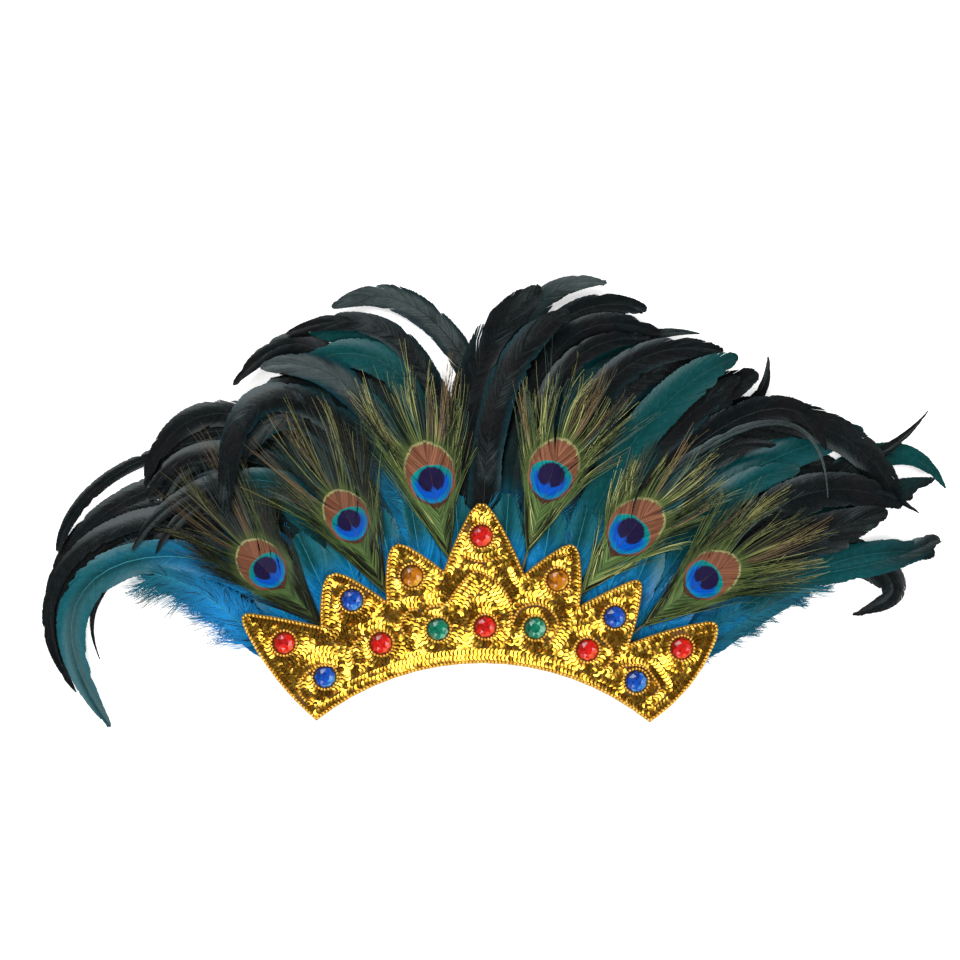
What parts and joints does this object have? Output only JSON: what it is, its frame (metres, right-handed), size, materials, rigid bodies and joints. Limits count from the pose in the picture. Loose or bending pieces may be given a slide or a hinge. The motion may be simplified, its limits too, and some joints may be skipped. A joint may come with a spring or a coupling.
{
  "type": "carnival feather headdress",
  "caption": "Flat pointed crown panel covered in gold sequins and set with cut stones, with peacock eye feathers in its notches and a fan of dyed cock feathers behind it.",
  "frame": {"origin": "middle of the footprint on the surface that the headdress lies on", "axes": "+X to the right of the crown seen from its face, +Y from the brow edge towards the crown's points, +Z out of the face"},
  "size_m": [0.6836, 0.331, 0.0408],
  "materials": {
    "sequin_cloth": "gold cup sequins on cloth",
    "gold_bead": "metallic gold seed beads",
    "stone_red": "cut acrylic with foil back",
    "stone_amber": "cut acrylic with foil back",
    "stone_blue": "cut acrylic with foil back",
    "stone_green": "cut acrylic with foil back",
    "peacock_feather": "glossy natural barbs",
    "cock_feather": "dyed glossy barbs"
  },
  "bodies": {
    "root": {"crown_panel": "sequin_cloth", "edge_beading": "gold_bead", "stone_01": "stone_red", "bead_ring_01": "gold_bead", "stone_02": "stone_amber", "bead_ring_02": "gold_bead", "stone_03": "stone_amber", "bead_ring_03": "gold_bead", "stone_04": "stone_blue", "bead_ring_04": "gold_bead", "stone_05": "stone_blue", "bead_ring_05": "gold_bead", "stone_06": "stone_red", "bead_ring_06": "gold_bead", "stone_07": "stone_red", "bead_ring_07": "gold_bead", "stone_08": "stone_red", "bead_ring_08": "gold_bead", "stone_09": "stone_red", "bead_ring_09": "gold_bead", "stone_10": "stone_green", "bead_ring_10": "gold_bead", "stone_11": "stone_green", "bead_ring_11": "gold_bead", "stone_12": "stone_red", "bead_ring_12": "gold_bead", "stone_13": "stone_blue", "bead_ring_13": "gold_bead", "stone_14": "stone_blue", "bead_ring_14": "gold_bead", "peacock_feather_1": "peacock_feather", "peacock_feather_2": "peacock_feather", "peacock_feather_3": "peacock_feather", "peacock_feather_4": "peacock_feather", "peacock_feather_5": "peacock_feather", "peacock_feather_6": "peacock_feather", "cock_fringe_left_back": "cock_feather", "cock_fringe_left_front": "cock_feather", "cock_fringe_right_back": "cock_feather", "cock_fringe_right_front": "cock_feather"}
  },
  "joints": []
}
